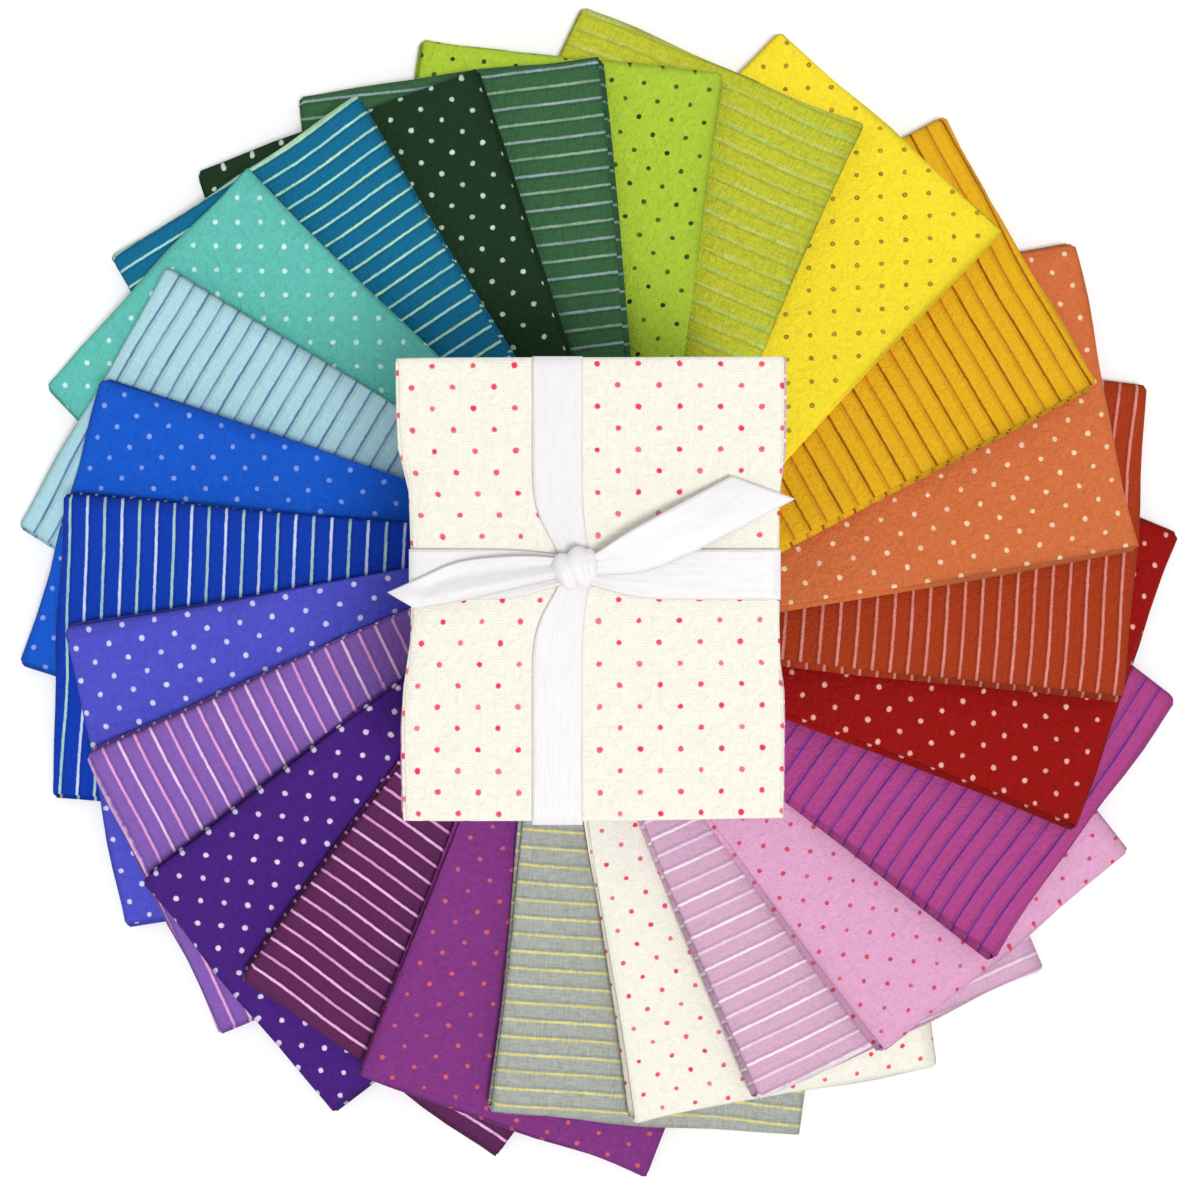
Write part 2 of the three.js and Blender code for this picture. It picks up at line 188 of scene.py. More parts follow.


# Quilting cotton, plain woven and printed: matt, threads both ways, faint slubs and soft creases, with
# painted shade in the fine creases and along the folded edges
def cottonMaterial(name, look):
    finish = {"Roughness": 0.88, "IOR": 1.5, "Specular IOR Level": 0.12, "Sheen Weight": 0.03,
              "Sheen Roughness": 0.5}
    material, tree, shader = newMaterial("quilting_cotton_" + name, finish)
    cut = addNode(tree, "UVMap", uv_map="cut").outputs[0]
    flat = addNode(tree, "VectorMath", {0: cut, 1: perMetre}, operation="MULTIPLY").outputs[0]
    wanders = {"Vector": flat, "Scale": 1 / weave["wanderSize"], "Detail": 2}
    wander = addNode(tree, "TexNoise", wanders).outputs[0]
    dotted = name.endswith("dot")
    layout = dotGrid if dotted else stripeGrid
    away, rim, ground, motif = (dotPrint if dotted else stripePrint)(tree, look, flat, wander)

    # the print, inked unevenly
    limits = {0: away, 1: rim - layout["edge"], 2: rim + layout["edge"], 3: 1, 4: 0}
    full = addNode(tree, "MapRange", limits, interpolation_type="SMOOTHSTEP").outputs[0]
    dark, light, faint = slubby.get(name, layout["slub"])
    patches = {"Vector": flat, "Scale": 1 / weave["inkPatch"], "Detail": 1}
    uneven = addNode(tree, "TexNoise", patches).outputs[0]
    thin, thick = weave["inkRange"]
    inked = addNode(tree, "MapRange", {0: uneven, 1: thin, 2: thick, 3: faint, 4: 1}).outputs[0]
    printed = addNode(tree, "Math", {0: full, 1: inked}, operation="MULTIPLY").outputs[0]
    dyed = addNode(tree, "Mix", {0: printed, 6: ground, 7: motif}, data_type="RGBA").outputs[2]

    # threads and slubs both ways
    slubs = []
    threads = []
    short, long = weave["slubStretch"]
    for stretch, way in (((short, long, 1), "X"), ((long, short, 1), "Y")):
        drawn = addNode(tree, "VectorMath", {0: flat, 1: stretch}, operation="MULTIPLY").outputs[0]
        slubs.append(addNode(tree, "TexNoise", {"Vector": drawn, "Scale": 1, "Detail": 2}).outputs[0])
        lines = {"Vector": flat, "Scale": waveRepeat / weave["thread"], "Distortion": weave["threadBend"]}
        threads.append(addNode(tree, "TexWave", lines, bands_direction=way).outputs["Fac"])
    slub = addNode(tree, "Math", {0: slubs[0], 1: slubs[1]}, operation="ADD").outputs[0]
    least, most = weave["slubRange"]
    shade = addNode(tree, "MapRange", {0: slub, 1: least, 2: most, 3: dark, 4: light}).outputs[0]
    woven = addNode(tree, "Math", {0: threads[0], 1: threads[1]}, operation="ADD").outputs[0]
    threadRise = {0: woven, 1: weave["threadRelief"]}
    relief = addNode(tree, "Math", threadRise, operation="MULTIPLY").outputs[0]

    # creases, and painted shade in the fine ones and along the folded edges
    creases = {"Vector": flat, "Scale": 1 / weave["creaseSize"], "Detail": 3,
               "Distortion": weave["creaseBend"]}
    crease = addNode(tree, "TexNoise", creases).outputs[0]
    crackles = {"Vector": flat, "Scale": 1 / weave["crackleSize"], "Detail": 2,
                "Distortion": weave["crackleBend"]}
    crackle = addNode(tree, "TexNoise", crackles).outputs[0]
    paleness = sum(linearColour(look["ground"])[:3]) / 3
    deep = 1 - weave["paleHides"] * paleness  # pale cloth shows its creases less
    # painted shade in the dips of the fine creases and painted light on their rises, on the same noise as
    # their bump
    paintedCreaseSwing = layout["crackle"] * deep
    least, most = weave["crackleRange"]
    shades = {0: crackle, 1: least, 2: most, 3: 1 - paintedCreaseSwing, 4: 1 + paintedCreaseSwing}
    paintedCreaseShade = addNode(tree, "MapRange", shades).outputs[0]
    slubToneAndPaintedShade = addNode(tree, "Math", {0: shade, 1: paintedCreaseShade}, operation="MULTIPLY").outputs[0]
    # painted shade along the folded edges, darkest right on the fold
    edge = addNode(tree, "Attribute", attribute_name="edge").outputs["Fac"]
    paintedEdgeShade = addNode(tree, "MapRange", {0: edge, 3: 1, 4: weave["edgeShade"]}).outputs[0]
    slubToneAndPaintedShade = addNode(tree, "Math", {0: slubToneAndPaintedShade, 1: paintedEdgeShade}, operation="MULTIPLY").outputs[0]
    tones = {0: 1.0, 6: dyed, 7: slubToneAndPaintedShade}
    toned = addNode(tree, "Mix", tones, data_type="RGBA", blend_type="MULTIPLY").outputs[2]
    tree.links.new(toned, shader.inputs["Base Color"])
    for part, rise in ((crease, weave["creaseRelief"]), (crackle, weave["crackleRelief"] * deep)):
        added = {0: part, 1: rise, 2: relief}
        relief = addNode(tree, "Math", added, operation="MULTIPLY_ADD").outputs[0]
    bump = addNode(tree, "Bump", {"Strength": 1, "Distance": mm, "Height": relief})
    tree.links.new(bump.outputs[0], shader.inputs["Normal"])
    return material


cottonMaterials = {name: cottonMaterial(name, look) for name, look in cottons.items()}

satinLook = {"colour": "eeebec", "line": 0.6, "lineBend": 0.6, "lineRelief": 0.03,
             "rippleStretch": (0.5, 0.12, 1), "rippleRange": (0.3, 0.7), "rippleShade": (0.95, 1.0),
             "rippleRelief": 0.2}


# Satin ribbon, woven with long floats: white, softly glossy, with fine lines along it and painted shade in
# its ripples
def satinMaterial():
    finish = {"Roughness": 0.42, "IOR": 1.5, "Sheen Weight": 0.2}
    material, tree, shader = newMaterial("satin_ribbon", finish)
    cut = addNode(tree, "UVMap", uv_map="cut").outputs[0]
    flat = addNode(tree, "VectorMath", {0: cut, 1: perMetre}, operation="MULTIPLY").outputs[0]
    floats = {"Vector": flat, "Scale": waveRepeat / satinLook["line"], "Distortion": satinLook["lineBend"]}
    lines = addNode(tree, "TexWave", floats).outputs["Fac"]
    stretched = {0: flat, 1: satinLook["rippleStretch"]}
    drawn = addNode(tree, "VectorMath", stretched, operation="MULTIPLY").outputs[0]
    ripple = addNode(tree, "TexNoise", {"Vector": drawn, "Scale": 1, "Detail": 2}).outputs[0]
    # painted shade in the dips of the ripples, on the same noise as their bump
    least, most = satinLook["rippleRange"]
    dark, light = satinLook["rippleShade"]
    shade = addNode(tree, "MapRange", {0: ripple, 1: least, 2: most, 3: dark, 4: light}).outputs[0]
    tint = {0: 1.0, 6: linearColour(satinLook["colour"]), 7: shade}
    toned = addNode(tree, "Mix", tint, data_type="RGBA", blend_type="MULTIPLY").outputs[2]
    tree.links.new(toned, shader.inputs["Base Color"])
    lineRise = {0: lines, 1: satinLook["lineRelief"]}
    fine = addNode(tree, "Math", lineRise, operation="MULTIPLY").outputs[0]
    rippleRise = {0: ripple, 1: satinLook["rippleRelief"], 2: fine}
    height = addNode(tree, "Math", rippleRise, operation="MULTIPLY_ADD").outputs[0]
    bump = addNode(tree, "Bump", {"Strength": 1, "Distance": mm, "Height": height})
    tree.links.new(bump.outputs[0], shader.inputs["Normal"])
    return material


satin = satinMaterial()
print("materials:", len(cottonMaterials) + 1)


seamWeld = 0.01  # a closed band's ends meet within this


# A cloth as a grid cut flat, then put where place says, which may add how near a folded edge each
# point is; s and t are its flat columns and rows in mm
def clothGrid(name, s, t, place, material, thick, closed=False):
    bm = bmesh.new()
    bmesh.ops.create_grid(bm, x_segments=len(s) - 1, y_segments=len(t) - 1, size=0.5)
    mesh = bpy.data.meshes.new(name)
    bm.to_mesh(mesh)
    bm.free()
    spots = np.empty(len(mesh.vertices) * 3)
    mesh.vertices.foreach_get("co", spots)
    spots = spots.reshape(-1, 3)
    column = np.rint((spots[:, 0] + 0.5) * (len(s) - 1)).astype(int)
    row = np.rint((spots[:, 1] + 0.5) * (len(t) - 1)).astype(int)
    corners = np.empty(len(mesh.loops), dtype=int)
    mesh.loops.foreach_get("vertex_index", corners)
    flat = np.stack([s[column], t[row]], axis=1) * mm
    mesh.uv_layers.new(name="cut").data.foreach_set("uv", flat[corners].ravel())
    x, y, z, *edge = place(column, row)
    mesh.vertices.foreach_set("co", np.stack([x, y, z], axis=1).ravel() * mm)
    if edge:
        mesh.attributes.new("edge", "FLOAT", "POINT").data.foreach_set("value", edge[0])
    if closed:
        bm = bmesh.new()
        bm.from_mesh(mesh)
        bmesh.ops.remove_doubles(bm, verts=bm.verts, dist=seamWeld * mm)
        bm.to_mesh(mesh)
        bm.free()
    mesh.shade_smooth()
    mesh.materials.append(material)
    cloth = bpy.data.objects.new(name, mesh)
    scene.collection.objects.link(cloth)
    wall = cloth.modifiers.new("thickness", "SOLIDIFY")
    wall.thickness = thick * mm
    wall.offset = 0
    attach(cloth, "root")
    return cloth


# Fixed scatter between -1 and 1, the same each run
def wobble(a, b):
    return np.sin(12.9 * a + 78.2 * b + 1.3)


# Eases from 0 to 1
def smooth(share):
    share = np.clip(share, 0, 1)
    return share * share * (3 - 2 * share)


# Stations of a strip laid to and fro between its ends: place, height, lean of its upper side, run
def zigzag(ends, pitch, half, steps, foldSteps, cut):
    stations = []
    for run, count in enumerate(steps):
        up = 1 if run % 2 == 0 else -1
        way = math.copysign(1, ends[run + 1] - ends[run])
        proud = pitch / 2 + half
        start = ends[run] + (way * proud if run else 0)
        last = run == len(steps) - 1
        stop = ends[run + 1] - (0 if last else way * proud)
        shares = (1 - np.cos(np.linspace(0, math.pi, count + 1))) / 2  # closer toward the folds
        for share in shares:
            stations.append((start + (stop - start) * share, run * pitch, 0, up, run))
        if last:
            break
        for k in range(1, foldSteps):
            angle = math.pi * k / foldSteps
            sine, cosine = math.sin(angle), math.cos(angle)
            height = run * pitch + pitch / 2 * (1 - cosine)
            turn = stop + way * pitch / 2 * sine
            stations.append((turn, height, -way * up * sine, up * cosine, run + k / foldSteps))
    table = np.array(stations).T
    strip = dict(zip(("place", "height", "leanAlong", "leanUp", "run"), table))
    travelled = np.concatenate([[0], np.cumsum(np.hypot(np.diff(table[0]), np.diff(table[1])))])
    strip["flat"] = travelled * cut / travelled[-1]
    return strip


# One fat quarter: 18 x 22 inches, in four across and in four along
quarter = {"width": 457.2, "length": 558.8, "sheet": 0.22, "sideSteps": 4, "endSteps": 6}
packetLength = quarter["length"] / 4

# The fan's packets all touch one circle with their low edge and climb one pitch a neighbour
fan = {"pitch": 6.3, "flatShare": 0.12, "lowEdge": 98, "highEdge": 21, "centre": (0.93, 2.49),
       "layer": 0.355, "acrossSteps": (14, 6, 6, 6), "alongSteps": (6, 6, 6, 20), "floorGap": 0.05,
       "foldSlip": 2.2, "edgeSlip": 0.9, "layerSlip": 0.3, "ledge": 0.6, "skew": 0.014, "tuck": 13,
       "corner": 2.6, "wave": 0.75, "waveLengths": (19, 8), "bow": 0.4, "bowLength": 23,
       "edgePress": 0.16, "pressReach": 3, "puff": 0.32, "puffReach": 9, "edgeReach": 1.0,
       "ripple": 0.25, "rippleFull": 9, "rippleX": (15, 40), "rippleY": (31, 17), "underStack": 0.78,
       "freeReach": (104, 30), "carryHeight": 38.2, "carryLeast": 50, "spread": (0.85, 1.35),
       "spreadReach": (72, 45), "printStep": (3.7, 2.3)}
headings = np.radians([look["heading"] for look in cottons.values()])
ringHeadings = np.concatenate([headings - 2 * math.pi, headings, headings + 2 * math.pi])
shortestReach = min(look["reach"] for look in cottons.values())
innerCorner = math.hypot(fan["lowEdge"], shortestReach - packetLength)
layers = 16  # of cloth in a packet


# Row of the fan at a bearing, whole on each packet's own heading and smooth between
def rowAt(bearing):
    low = np.searchsorted(ringHeadings, bearing, side="right") - 1
    low = np.clip(low, 1, len(ringHeadings) - 3)
    before, start, end, after = (ringHeadings[low + k] for k in (-1, 0, 1, 2))
    share = (bearing - start) / (end - start)
    rest = 1 - share
    leaving = 2 * (end - start) / (end - before)
    arriving = 2 * (end - start) / (after - start)
    climb = share * (leaving * rest * rest + share * (3 - 2 * share - arriving * rest))
    return low - len(headings) + climb


# Height of a packet's underside: how many packets lie under the point
def fanLift(x, y, row):
    bearing = np.arctan2(x, y)
    bearing += 2 * math.pi * np.round((headings[row] - bearing) / (2 * math.pi))
    radius = np.maximum(np.hypot(x, y), innerCorner)
    under = rowAt(bearing + np.arcsin(fan["lowEdge"] / radius)) - row
    return fan["pitch"] * np.maximum(0, under - fan["flatShare"])


# Under the stack the fan's thinner side lies looser and its thicker side flatter, to carry it level
def fanSpread(x, y):
    bearing = np.arctan2(x, y)
    radius = np.hypot(x, y)
    lowest = rowAt(bearing + np.arcsin(fan["lowEdge"] / np.maximum(radius, innerCorner)))
    highest = rowAt(bearing - np.arcsin(fan["highEdge"] / np.maximum(radius, fan["carryLeast"])))
    top = fan["pitch"] * (lowest - highest - fan["flatShare"])
    top = top + layers * fan["layer"] * fan["underStack"]
    start, reach = fan["spreadReach"]
    near = 1 - smooth((radius - start) / reach)
    return 1 + near * (np.clip(fan["carryHeight"] / top, *fan["spread"]) - 1)


def fanCloth(row, name):
    look = cottons[name]
    reach, width = look["reach"], look["width"]
    inner = reach - packetLength
    slip = fan["foldSlip"] * (0.55 + 0.45 * wobble(row, 1))
    low, high = fan["lowEdge"], fan["lowEdge"] - width
    layer, sheet = fan["layer"], quarter["sheet"]
    edges = [high, low, high, low, high] if row % 2 else [low, high, low, high, low]
    across = zigzag(edges, layer, sheet / 2, fan["acrossSteps"], quarter["sideSteps"], quarter["width"])
    lowFold = reach - slip if row % 3 else reach + 0.5 * slip
    # folded a little unevenly, so the top run is tucked further under the stack
    ends = [inner + slip + fan["tuck"], lowFold, inner, reach, inner + slip - fan["tuck"]]
    core = 1.5 * layer  # middle of a run's four layers
    half = core + sheet / 2
    along = zigzag(ends, 4 * layer, half, fan["alongSteps"], quarter["endSteps"], quarter["length"])
    runs = np.arange(4)
    runSlip = fan["edgeSlip"] * wobble(row, runs + 3)
    askew = np.array([1, 1, 1, 0])  # the top run lies true, the lower ones a little off it
    ledge = fan["ledge"] * (0.45 + wobble(row, runs + 11)) * askew
    skew = fan["skew"] * wobble(row, runs + 17) * askew
    corners = fan["corner"] * (0.6 + 0.4 * wobble(row, np.arange(2) + 21))
    sine, cosine = math.sin(headings[row]), math.cos(headings[row])

    def place(column, line):
        e = across["height"][column] - core
        u = along["place"][line] + along["leanAlong"][line] * e
        v = across["place"][column]
        fold = along["run"][line]
        for gap, corner in ((v - high, corners[0]), (low - v, corners[1])):  # rounded outer corners
            past = np.clip(corner - gap, 0, corner)
            back = corner - np.sqrt(np.maximum(0, corner ** 2 - past ** 2))
            u = u - back * smooth((u - reach + 3 * corner) / (3 * corner))
        longWave, shortWave = fan["waveLengths"]
        wave = np.sin(v / longWave + 2.1 * row + 1.7 * np.round(fold / 2))
        wave = wave + 0.4 * np.sin(v / shortWave + 4.3 * row)
        u = u + fan["wave"] * wave * (u - inner) / packetLength
        layerSlip = fan["layerSlip"] * wobble(row + np.rint(across["run"][column]), np.rint(fold))
        v = v + np.interp(fold, runs, runSlip) + layerSlip
        fromMiddle = u - inner - packetLength / 2
        show = np.interp(fold, runs, ledge) + np.interp(fold, runs, skew) * fromMiddle
        v = v - show * (low - v) / width
        v = v + fan["bow"] * np.sin(u / fan["bowLength"] + 1.3 * row)
        x = u * sine - v * cosine
        y = u * cosine + v * sine
        lift = fanLift(x, y, row)
        inside = np.maximum(0, np.minimum(np.minimum(v - high, low - v), reach - u))
        press = 1 - fan["edgePress"] * np.exp(-inside / fan["pressReach"])
        start, length = fan["freeReach"]
        free = smooth((np.hypot(x, y) - start) / length)  # the stack's weight lies inside this
        press = press * (fan["underStack"] + (1 - fan["underStack"]) * free)
        # the raised fold stands up
        press = press + fan["puff"] * free * np.exp(-np.maximum(0, v - high) / fan["puffReach"])
        level = along["height"][line] + along["leanUp"][line] * e + core
        (longX, slowX), (slowY, longY) = fan["rippleX"], fan["rippleY"]
        # one field for all packets, so none cut through
        ripple = np.sin(x / longX + y / slowY + 1) * np.cos(y / longY - x / slowX)
        ripple = fan["ripple"] * ripple * free * np.clip(lift / fan["rippleFull"], 0, 1)
        z = (lift + level * press) * fanSpread(x, y) + ripple + sheet / 2 + fan["floorGap"]
        # how near a folded edge, where the cotton paints shade
        edge = free * np.exp(-inside / fan["edgeReach"])
        return x + fan["centre"][0], y + fan["centre"][1], z, edge

    start = [row * step for step in fan["printStep"]]  # each cut elsewhere from its print
    s, t = across["flat"] + start[0], along["flat"] + start[1]
    cloth = clothGrid("cloth_fan_" + name, s, t, place, cottonMaterials[name], sheet)
    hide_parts("fan_" + name)


for row, name in enumerate(names):
    fanCloth(row, name)
print("fan laid:", len(names))

# The stack, squared up by hand and drawn in a little by the tie
stack = {"base": 38.7, "middle": (-2.57, 0.09), "pitch": 4.75, "layer": 0.288, "width": 114.3,
         "acrossSteps": (12, 5, 5, 5), "alongSteps": (14, 14, 14, 20), "baseGap": 0.02, "topGap": 0.3,
         "foldSlip": 2.2, "edgeSlip": 0.7, "layerSlip": 0.25, "shift": 0.9, "turn": math.radians(0.7),
         "crossing": (-9.9, 4.5), "waistLeft": 4.4, "waistRight": 1.5, "waistReach": 26,
         "folded": 1.0, "taper": 0.022, "wave": 0.3, "waveLength": 21,
         "printStep": (4.1, 1.7), "topStart": (5.7, 4.4), "peek": (0.8, 0.7)}
stackTop = names.index("cream_dot")
stackHeight = stack["pitch"] * len(names) - stack["topGap"]
# The tie: two bands round the stack, a half knot on their crossing and two free ends
tie = {"width": 15, "sheet": 0.3, "corner": 3, "left": -54.0, "right": 56.4, "near": -70.0,
       "far": 69.4, "holdReach": (38, 20), "holdGap": 0.35, "topPoints": 22, "sideSteps": 12,
       "cornerPoints": 6, "widthPoints": 13,
       "knot": (-4.5, 6.0), "knotTop": 6.4, "gather": 0.45, "gatherReach": 13,
       "pleatLengthwise": 0.1, "pleatCrosswise": 0.5, "pleatTurn": 1.9,
       "ripple": 0.08, "rippleLengths": (9, 4),
       "clearLengthwise": 0.5, "clearCrosswise": 1.05, "knotClear": 1.4}


# Holds an edge inside a band, where the band runs over it; also how far the round corner comes down
def heldIn(place, beside, middle, least, most):
    reach, length = tie["holdReach"]
    near = smooth((reach - np.abs(beside - middle)) / length)
    held = np.clip(place, least + tie["holdGap"], most - tie["holdGap"])
    held = place + near * (held - place)
    past = np.maximum(0, tie["corner"] - np.minimum(held - least, most - held))
    drop = tie["corner"] - np.sqrt(np.maximum(0, tie["corner"] ** 2 - past ** 2))
    return held, near * drop


def stackCloth(level, name):
    half = packetLength / 2 - stack["folded"]
    side = stack["width"] / 2
    slip = stack["foldSlip"] * (0.5 + 0.5 * wobble(level, 5))
    layer, sheet = stack["layer"], quarter["sheet"]
    edges = [-side, side, -side, side, -side] if level % 2 else [side, -side, side, -side, side]
    across = zigzag(edges, layer, sheet / 2, stack["acrossSteps"], quarter["sideSteps"], quarter["width"])
    ends = [slip - half, half - slip, -half, half, slip - half]
    core = 1.5 * layer
    thick = core + sheet / 2
    along = zigzag(ends, 4 * layer, thick, stack["alongSteps"], quarter["endSteps"], quarter["length"])
    runs = np.arange(4)
    runSlip = stack["edgeSlip"] * wobble(level, runs + 7)
    turn = stack["turn"] * wobble(level, 6)
    shift = [stack["shift"] * wobble(level, k) for k in (8, 9)]
    if level == len(names) - 2:  # shows a thin line past the top one
        shift = stack["peek"]

    def place(column, line):
        e = across["height"][column] - core
        u = along["place"][line] + along["leanAlong"][line] * e
        v = across["place"][column]
        fold = along["run"][line]
        drawn = np.exp(-((u - stack["crossing"][1]) / stack["waistReach"]) ** 2)
        waist = np.where(v > 0, stack["waistLeft"], stack["waistRight"])
        v = v * (1 - drawn * waist / side)
        v = v * (1 - stack["taper"] * np.maximum(0, -u / half))
        layerSlip = wobble(level + np.rint(across["run"][column]), np.rint(fold))
        v = v + np.interp(fold, runs, runSlip) + stack["layerSlip"] * layerSlip
        wave = np.sin(v / stack["waveLength"] + 1.9 * level + np.round(fold / 2))
        u = u + stack["wave"] * wave * u / half
        x = shift[0] - v * math.cos(turn) - u * math.sin(turn)
        y = shift[1] + u * math.cos(turn) - v * math.sin(turn)
        x, dropX = heldIn(x, y, stack["crossing"][1], tie["left"], tie["right"])
        y, dropY = heldIn(y, x, stack["crossing"][0], tie["near"], tie["far"])
        squeeze = 1 - np.maximum(dropX, dropY) / (layers * layer)
        rise = along["height"][line] + along["leanUp"][line] * e + core
        if level == len(names) - 1:
            rise = rise * squeeze
        if level == 0:
            highest = (layers - 1) * layer
            rise = highest - (highest - rise) * squeeze
        z = stack["base"] + level * stack["pitch"] + rise + sheet / 2 + stack["baseGap"]
        return x + stack["middle"][0], y + stack["middle"][1], z

    start = [level * step for step in stack["printStep"]]
    if level == len(names) - 1:
        start = stack["topStart"]
    s, t = across["flat"] + start[0], along["flat"] + start[1]
    cloth = clothGrid("cloth_stack_" + name, s, t, place, cottonMaterials[name], sheet)
    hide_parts("stack_" + name)


for level in range(len(names)):
    stackCloth(level, names[(stackTop + 1 + level) % len(names)])
print("stack squared up:", len(names))


# Closed path round a box, from the middle of its top
def bandPath(left, right, bottom, top, corner):
    halfTop = np.linspace(0, 1, tie["topPoints"])
    points = []
    for step in halfTop:
        points.append(((1 - step) * (left + right) / 2 + step * (right - corner), top))
    turns = ((right - corner, top - corner, 90), (right - corner, bottom + corner, 0),
             (left + corner, bottom + corner, -90), (left + corner, top - corner, -180))
    for across, up, start in turns:
        quarterTurn = np.radians(np.linspace(start, start - 90, tie["cornerPoints"]))
        arc = [(across + corner * math.cos(angle), up + corner * math.sin(angle)) for angle in quarterTurn]
        if start < 90:  # the straight side that leads to this corner
            here, there = np.array(points[-1]), np.array(arc[0])
            for k in range(1, tie["sideSteps"]):
                points.append(tuple(here + (there - here) * k / tie["sideSteps"]))
        points += arc
    for step in halfTop[1:]:
        points.append(((1 - step) * (left + corner) + step * (left + right) / 2, top))
    path = np.array(points)
    return path[np.concatenate([[True], np.hypot(*np.diff(path, axis=0).T) > 1e-4])]


def tieBand(node, lengthwise, left, right, clear):
    base = stack["base"]
    path = bandPath(left, right, base - clear, base + stackHeight + clear, tie["corner"])
    t = np.concatenate([[0], np.cumsum(np.hypot(*np.diff(path, axis=0).T))])
    s = np.linspace(0, tie["width"], tie["widthPoints"])
    middle = stack["crossing"][0 if lengthwise else 1]
    knotAlong = tie["knot"][1 if lengthwise else 0]
    knotAside = tie["knot"][0 if lengthwise else 1]

    def place(column, line):
        run, up = path[line, 0], path[line, 1]
        onTop = np.clip((up - base - stackHeight + tie["corner"]) / tie["corner"], 0, 1)
        near = onTop * np.exp(-((run - knotAlong) / tie["gatherReach"]) ** 2)
        c = s[column] - tie["width"] / 2
        aside = middle + c * (1 - tie["gather"] * near) + (knotAside - middle) * near
        pleat = tie["pleatLengthwise"] if lengthwise else tie["pleatCrosswise"]
        up = up + near * pleat * (1 + np.cos(c * tie["pleatTurn"]))
        longWave, crossWave = tie["rippleLengths"]
        up = up + tie["ripple"] * np.sin(run / longWave + c / crossWave) * onTop
        flat = (aside, run) if lengthwise else (run, aside)
        return flat[0] + stack["middle"][0], flat[1] + stack["middle"][1], up

    band = clothGrid("satin_" + node, s, t, place, satin, tie["sheet"], closed=True)
    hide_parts("ribbon_" + node)


tieBand("lengthwise", True, tie["near"], tie["far"], tie["clearLengthwise"])
tieBand("crosswise", False, tie["left"], tie["right"], tie["clearCrosswise"])
tieFloor = stack["base"] + stackHeight + tie["knotClear"]

knot = {"round": 28, "length": 15, "bearing": math.radians(16), "halfLength": 6.6, "halfWidth": 5.4,
        "drawnIn": 0.72, "pleat": 0.26, "pleatTurns": 4.2, "pleatSway": 0.7, "pleatMean": 0.55,
        "lump": 0.06, "bulge": 0.7, "flatten": 0.92, "roundPoints": 49, "lengthPoints": 25}


# The knot: a band wound once round the gathered ends, in pleats
def tieKnot():
    s = np.linspace(0, knot["round"], knot["roundPoints"])
    t = np.linspace(0, knot["length"], knot["lengthPoints"])
    sine, cosine = math.sin(knot["bearing"]), math.cos(knot["bearing"])

    def place(column, line):
        angle = 2 * math.pi * s[column] / s[-1]
        b = 2 * t[line] / t[-1] - 1
        pleat = np.sin(knot["pleatTurns"] * b + knot["pleatSway"] * np.sin(angle) + 0.5)
        pleat = np.abs(pleat) - knot["pleatMean"]
        ring = 1 + knot["pleat"] * pleat + knot["lump"] * np.sin(2 * angle + 3 * b)
        ring = (1 - knot["drawnIn"] * np.abs(b) ** 5) * ring  # drawn in at both ends
        along = (knot["halfLength"] + knot["bulge"] * np.cos(angle)) * b
        aside = knot["halfWidth"] * ring * np.cos(angle)
        up = tieFloor + tie["knotTop"] / 2 * (1 + ring * np.sin(angle) * knot["flatten"])
        x = along * cosine - aside * sine + tie["knot"][0]
        y = along * sine + aside * cosine + tie["knot"][1]
        return x + stack["middle"][0], y + stack["middle"][1], up

    wound = clothGrid("satin_knot", s, t, place, satin, tie["sheet"], closed=True)
    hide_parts("ribbon_knot")


tieKnot()

# Free ends: stations on both edges from the knot outwards, as x, y from the stack's middle and height
tails = {
    "tail_left": {
        "upper": ((-2, 7.6, 3), (-10, 9.4, 3.2), (-21, 10.0, 2.8), (-39, 8.6, 1.6), (-51, 3.2, 1.0),
                  (-61, -1.3, 1.6)),
        "lower": ((-2, 4.6, 3), (-9, 3.4, 2.4), (-21, 0.6, 1.0), (-39, -3.6, 0.7), (-47, -5.0, 0.9),
                  (-52.4, -5.7, 2.2)),
        "flat": 57, "slant": 10, "bow": 1.7, "roll": 1.5},
    "tail_right": {
        "upper": ((-6, 6.4, 3), (1.5, 10.6, 4.2), (10, 16.4, 4.8), (22, 23, 4.2), (33, 29, 2.2),
                  (42.3, 34.1, 0.8)),
        "lower": ((-6, 4.6, 3), (2.6, 4.2, 2.8), (16, 4.8, 2.6), (32, 11.6, 2.0), (47, 19.6, 1.2),
                  (62, 27.6, 0.6)),
        "flat": 68, "slant": 14, "bow": 0.6, "roll": 0.3},
}
# Each point is the mean of three along its edge, which rounds the stations off
tailForm = {"ease": (-0.06, 0, 0.06), "lengthPoints": 41, "gatherReach": 0.16, "gatherRise": 1.1,
            "flatter": 0.5, "rollEnd": 1.15, "rollStart": 0.5}


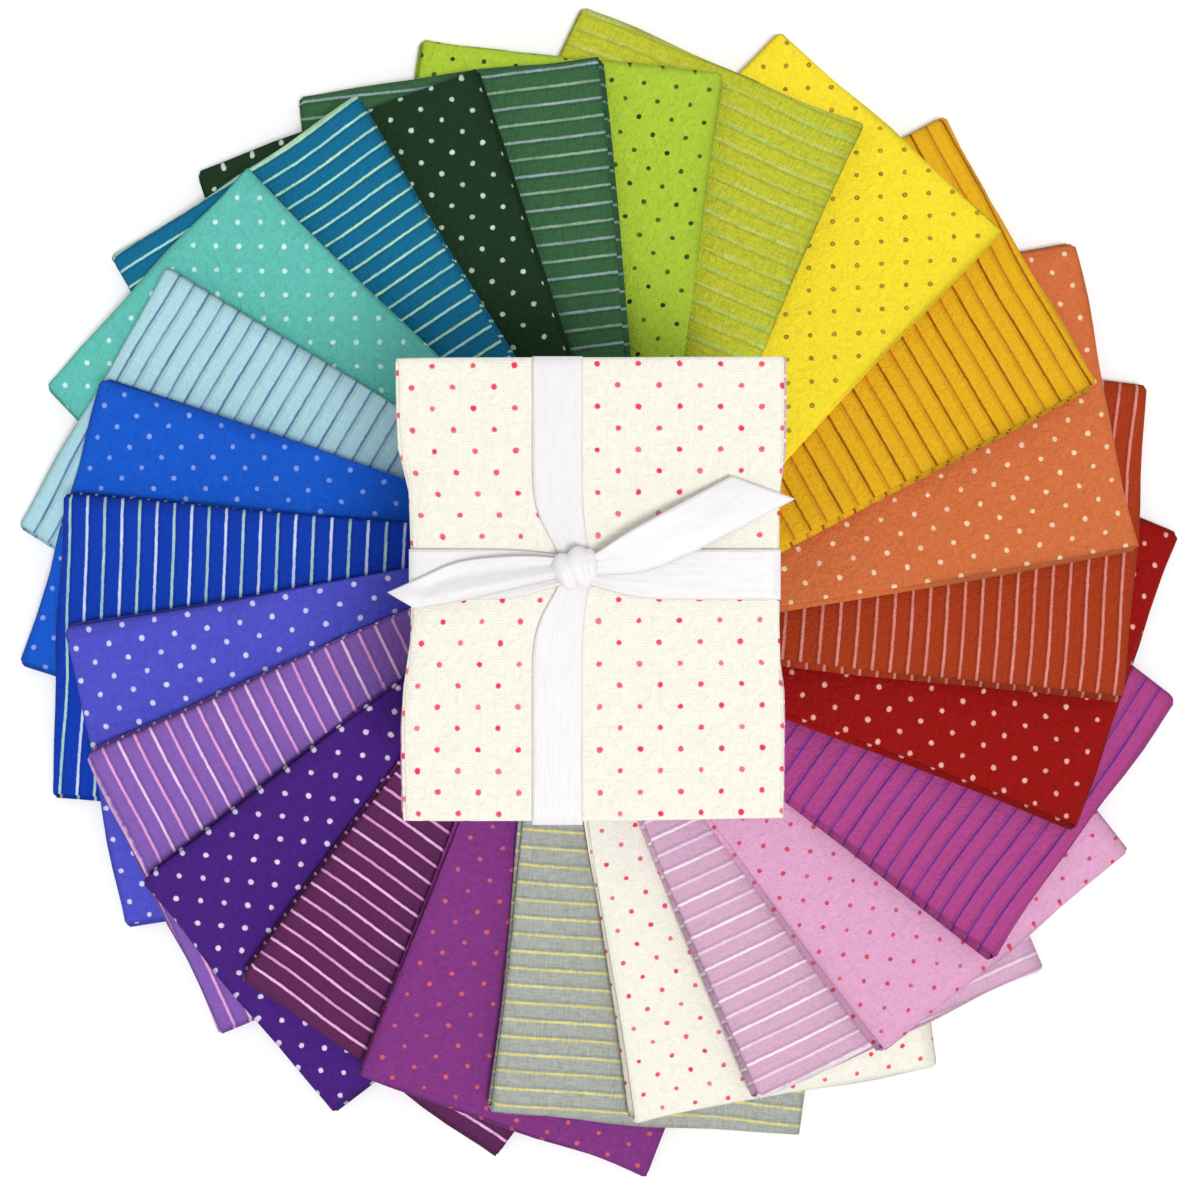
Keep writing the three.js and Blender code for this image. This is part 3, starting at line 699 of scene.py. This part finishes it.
def tieTail(name, tail):
    s = np.linspace(0, tie["width"], tie["widthPoints"])
    t = np.linspace(0, tail["flat"], tailForm["lengthPoints"])
    upper, lower = (np.array(tail[edge]).T for edge in ("upper", "lower"))
    marks = np.linspace(0, 1, upper.shape[1])

    def place(column, line):
        c = s[column] / tie["width"]
        share = t[line] / t[-1]
        spot = []
        for high, low in zip(upper, lower):
            edges = []
            for edge in (high, low):
                eased = [np.interp(share + off, marks, edge) for off in tailForm["ease"]]
                edges.append(sum(eased) / len(eased))
            spot.append(edges[1] + (edges[0] - edges[1]) * c)
        bow = tail["bow"] * np.sin(math.pi * c) * (1 - share * tailForm["flatter"])
        gathered = tailForm["gatherRise"] * np.exp(-share / tailForm["gatherReach"])
        bow = bow + gathered * np.sin(3 * math.pi * c) ** 2
        rolled = np.sqrt(np.sin(math.pi * np.clip(share * tailForm["rollEnd"], 0, 1)))
        bow = bow + tail["roll"] * np.sin(2 * math.pi * c + tailForm["rollStart"]) * rolled
        return spot[0] + stack["middle"][0], spot[1] + stack["middle"][1], tieFloor + spot[2] + bow

    end = clothGrid("satin_" + name, s, t, place, satin, tie["sheet"])
    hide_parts("ribbon_" + name)


for name, tail in tails.items():
    tieTail(name, tail)
print("tie done")

# Plain pale floor and soft light from all round
studio = {"floor": "ffffff", "floorHalf": 30, "sky": 0.6, "lampPower": 255, "lampSize": 2.0,
          "lampPlace": (1.5, -1.8, 6.45)}
bm = bmesh.new()
bmesh.ops.create_grid(bm, x_segments=1, y_segments=1, size=studio["floorHalf"])
floorMesh = bpy.data.meshes.new("studioFloor")
bm.to_mesh(floorMesh)
bm.free()
floor = bpy.data.objects.new("studioFloor", floorMesh)
scene.collection.objects.link(floor)
paintFinish = {"Base Color": linearColour(studio["floor"]), "Roughness": 0.9}
paint = newMaterial("matt_paint", paintFinish)[0]  # matt wall paint: flat and pale, no gloss
floorMesh.materials.append(paint)
lampData = bpy.data.lights.new("softLamp", "AREA")
lampData.energy = studio["lampPower"]
lampData.size = studio["lampSize"]
lamp = bpy.data.objects.new("softLamp", lampData)
lamp.location = studio["lampPlace"]
lamp.rotation_euler = lamp.location.to_track_quat("Z", "Y").to_euler()
scene.collection.objects.link(lamp)
world = bpy.data.worlds.new("studio")
world.use_nodes = True
world.node_tree.nodes["Background"].inputs["Color"].default_value = (1, 1, 1, 1)
world.node_tree.nodes["Background"].inputs["Strength"].default_value = studio["sky"]
scene.world = world
print("studio lit")
